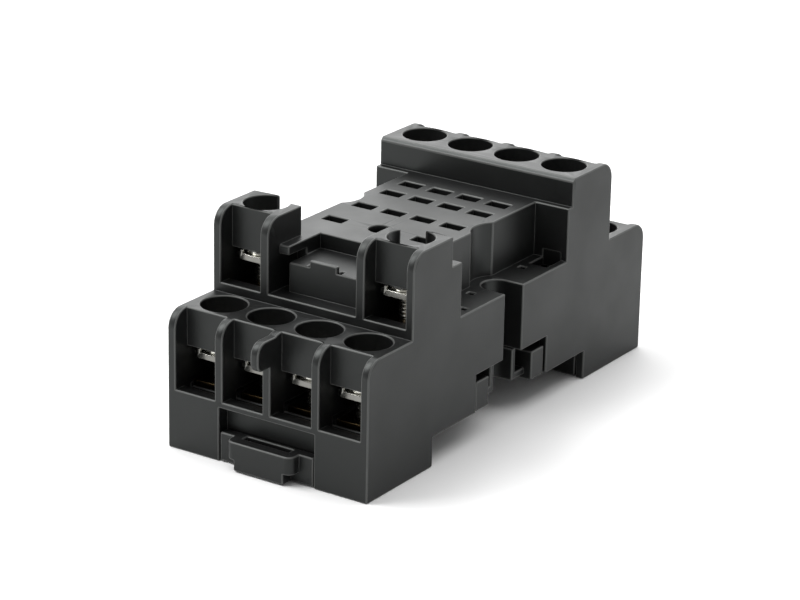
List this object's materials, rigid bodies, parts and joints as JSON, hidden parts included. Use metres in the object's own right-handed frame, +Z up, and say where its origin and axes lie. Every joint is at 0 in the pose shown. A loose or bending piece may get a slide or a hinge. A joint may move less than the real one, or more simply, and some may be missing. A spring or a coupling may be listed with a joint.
{
  "type": "relay socket",
  "caption": "Finger-safe screw-terminal socket for a plug-in miniature relay, with a sliding rail latch and side slots for panel screws.",
  "frame": {"origin": "centre of the bounding box's bottom face, on the plane that the feet stand on", "axes": "+X across the socket, +Y from the latch end to the far end, +Z up out of the relay deck"},
  "size_m": [0.0296, 0.0664, 0.0285],
  "materials": {
    "housing_plastic": "black moulded thermoplastic, satin",
    "base_plastic": "black moulded thermoplastic, satin",
    "latch_plastic": "black moulded thermoplastic, satin",
    "contact_brass": "stamped, plated",
    "plated_steel": "zinc plated"
  },
  "bodies": {
    "socket": {"housing": "housing_plastic", "base_cover": "base_plastic", "contact_01": "contact_brass", "contact_02": "contact_brass", "contact_03": "contact_brass", "contact_04": "contact_brass", "contact_05": "contact_brass", "contact_06": "contact_brass", "contact_07": "contact_brass", "contact_08": "contact_brass", "contact_09": "contact_brass", "contact_10": "contact_brass", "contact_11": "contact_brass", "contact_12": "contact_brass", "contact_13": "contact_brass", "contact_14": "contact_brass"},
    "latch": {"rail_latch": "latch_plastic"},
    "clamp_01": {"clamp_plate_01": "plated_steel"},
    "driver_01": {"screw_01": "plated_steel"},
    "clamp_02": {"clamp_plate_02": "plated_steel"},
    "driver_02": {"screw_02": "plated_steel"},
    "clamp_03": {"clamp_plate_03": "plated_steel"},
    "driver_03": {"screw_03": "plated_steel"},
    "clamp_04": {"clamp_plate_04": "plated_steel"},
    "driver_04": {"screw_04": "plated_steel"},
    "clamp_05": {"clamp_plate_05": "plated_steel"},
    "driver_05": {"screw_05": "plated_steel"},
    "clamp_06": {"clamp_plate_06": "plated_steel"},
    "driver_06": {"screw_06": "plated_steel"},
    "clamp_07": {"clamp_plate_07": "plated_steel"},
    "driver_07": {"screw_07": "plated_steel"},
    "clamp_08": {"clamp_plate_08": "plated_steel"},
    "driver_08": {"screw_08": "plated_steel"},
    "clamp_09": {"clamp_plate_09": "plated_steel"},
    "driver_09": {"screw_09": "plated_steel"},
    "clamp_10": {"clamp_plate_10": "plated_steel"},
    "driver_10": {"screw_10": "plated_steel"},
    "clamp_11": {"clamp_plate_11": "plated_steel"},
    "driver_11": {"screw_11": "plated_steel"},
    "clamp_12": {"clamp_plate_12": "plated_steel"},
    "driver_12": {"screw_12": "plated_steel"},
    "clamp_13": {"clamp_plate_13": "plated_steel"},
    "driver_13": {"screw_13": "plated_steel"},
    "clamp_14": {"clamp_plate_14": "plated_steel"},
    "driver_14": {"screw_14": "plated_steel"}
  },
  "joints": [
    {"name": "latch_slide", "type": "slide", "parent": "socket", "child": "latch", "axis": [0, -1, 0], "range_m": [0, 0.003], "stiffness_N_per_m": 600, "springref_m": -0.002},
    {"name": "clamp_01_travel", "type": "slide", "parent": "socket", "child": "clamp_01", "axis": [0, 0, -1], "range_m": [0, 0.0025]},
    {"name": "screw_01_turn", "type": "hinge", "parent": "clamp_01", "child": "driver_01", "pos_m": [-0.01065, -0.0249, 0.01203], "axis": [0, 0, -1], "range_deg": [0, 1800]},
    {"name": "clamp_02_travel", "type": "slide", "parent": "socket", "child": "clamp_02", "axis": [0, 0, -1], "range_m": [0, 0.0025]},
    {"name": "screw_02_turn", "type": "hinge", "parent": "clamp_02", "child": "driver_02", "pos_m": [-0.00355, -0.0249, 0.01203], "axis": [0, 0, -1], "range_deg": [0, 1800]},
    {"name": "clamp_03_travel", "type": "slide", "parent": "socket", "child": "clamp_03", "axis": [0, 0, -1], "range_m": [0, 0.0025]},
    {"name": "screw_03_turn", "type": "hinge", "parent": "clamp_03", "child": "driver_03", "pos_m": [0.00355, -0.0249, 0.01203], "axis": [0, 0, -1], "range_deg": [0, 1800]},
    {"name": "clamp_04_travel", "type": "slide", "parent": "socket", "child": "clamp_04", "axis": [0, 0, -1], "range_m": [0, 0.0025]},
    {"name": "screw_04_turn", "type": "hinge", "parent": "clamp_04", "child": "driver_04", "pos_m": [0.01065, -0.0249, 0.01203], "axis": [0, 0, -1], "range_deg": [0, 1800]},
    {"name": "clamp_05_travel", "type": "slide", "parent": "socket", "child": "clamp_05", "axis": [0, 0, -1], "range_m": [0, 0.0025]},
    {"name": "screw_05_turn", "type": "hinge", "parent": "clamp_05", "child": "driver_05", "pos_m": [-0.01065, -0.0163, 0.02233], "axis": [0, 0, -1], "range_deg": [0, 1800]},
    {"name": "clamp_06_travel", "type": "slide", "parent": "socket", "child": "clamp_06", "axis": [0, 0, -1], "range_m": [0, 0.0025]},
    {"name": "screw_06_turn", "type": "hinge", "parent": "clamp_06", "child": "driver_06", "pos_m": [0.01065, -0.0163, 0.02233], "axis": [0, 0, -1], "range_deg": [0, 1800]},
    {"name": "clamp_07_travel", "type": "slide", "parent": "socket", "child": "clamp_07", "axis": [0, 0, -1], "range_m": [0, 0.0025]},
    {"name": "screw_07_turn", "type": "hinge", "parent": "clamp_07", "child": "driver_07", "pos_m": [-0.01065, 0.0187, 0.02233], "axis": [0, 0, -1], "range_deg": [0, 1800]},
    {"name": "clamp_08_travel", "type": "slide", "parent": "socket", "child": "clamp_08", "axis": [0, 0, -1], "range_m": [0, 0.0025]},
    {"name": "screw_08_turn", "type": "hinge", "parent": "clamp_08", "child": "driver_08", "pos_m": [-0.00355, 0.0187, 0.02233], "axis": [0, 0, -1], "range_deg": [0, 1800]},
    {"name": "clamp_09_travel", "type": "slide", "parent": "socket", "child": "clamp_09", "axis": [0, 0, -1], "range_m": [0, 0.0025]},
    {"name": "screw_09_turn", "type": "hinge", "parent": "clamp_09", "child": "driver_09", "pos_m": [0.00355, 0.0187, 0.02233], "axis": [0, 0, -1], "range_deg": [0, 1800]},
    {"name": "clamp_10_travel", "type": "slide", "parent": "socket", "child": "clamp_10", "axis": [0, 0, -1], "range_m": [0, 0.0025]},
    {"name": "screw_10_turn", "type": "hinge", "parent": "clamp_10", "child": "driver_10", "pos_m": [0.01065, 0.0187, 0.02233], "axis": [0, 0, -1], "range_deg": [0, 1800]},
    {"name": "clamp_11_travel", "type": "slide", "parent": "socket", "child": "clamp_11", "axis": [0, 0, -1], "range_m": [0, 0.0025]},
    {"name": "screw_11_turn", "type": "hinge", "parent": "clamp_11", "child": "driver_11", "pos_m": [-0.01065, 0.0273, 0.01203], "axis": [0, 0, -1], "range_deg": [0, 1800]},
    {"name": "clamp_12_travel", "type": "slide", "parent": "socket", "child": "clamp_12", "axis": [0, 0, -1], "range_m": [0, 0.0025]},
    {"name": "screw_12_turn", "type": "hinge", "parent": "clamp_12", "child": "driver_12", "pos_m": [-0.00355, 0.0273, 0.01203], "axis": [0, 0, -1], "range_deg": [0, 1800]},
    {"name": "clamp_13_travel", "type": "slide", "parent": "socket", "child": "clamp_13", "axis": [0, 0, -1], "range_m": [0, 0.0025]},
    {"name": "screw_13_turn", "type": "hinge", "parent": "clamp_13", "child": "driver_13", "pos_m": [0.00355, 0.0273, 0.01203], "axis": [0, 0, -1], "range_deg": [0, 1800]},
    {"name": "clamp_14_travel", "type": "slide", "parent": "socket", "child": "clamp_14", "axis": [0, 0, -1], "range_m": [0, 0.0025]},
    {"name": "screw_14_turn", "type": "hinge", "parent": "clamp_14", "child": "driver_14", "pos_m": [0.01065, 0.0273, 0.01203], "axis": [0, 0, -1], "range_deg": [0, 1800]}
  ],
  "couplings": [
    {"joint": "screw_01_turn", "follows": "clamp_01_travel", "rad_per_m": 12566},
    {"joint": "screw_02_turn", "follows": "clamp_02_travel", "rad_per_m": 12566},
    {"joint": "screw_03_turn", "follows": "clamp_03_travel", "rad_per_m": 12566},
    {"joint": "screw_04_turn", "follows": "clamp_04_travel", "rad_per_m": 12566},
    {"joint": "screw_05_turn", "follows": "clamp_05_travel", "rad_per_m": 12566},
    {"joint": "screw_06_turn", "follows": "clamp_06_travel", "rad_per_m": 12566},
    {"joint": "screw_07_turn", "follows": "clamp_07_travel", "rad_per_m": 12566},
    {"joint": "screw_08_turn", "follows": "clamp_08_travel", "rad_per_m": 12566},
    {"joint": "screw_09_turn", "follows": "clamp_09_travel", "rad_per_m": 12566},
    {"joint": "screw_10_turn", "follows": "clamp_10_travel", "rad_per_m": 12566},
    {"joint": "screw_11_turn", "follows": "clamp_11_travel", "rad_per_m": 12566},
    {"joint": "screw_12_turn", "follows": "clamp_12_travel", "rad_per_m": 12566},
    {"joint": "screw_13_turn", "follows": "clamp_13_travel", "rad_per_m": 12566},
    {"joint": "screw_14_turn", "follows": "clamp_14_travel", "rad_per_m": 12566}
  ]
}
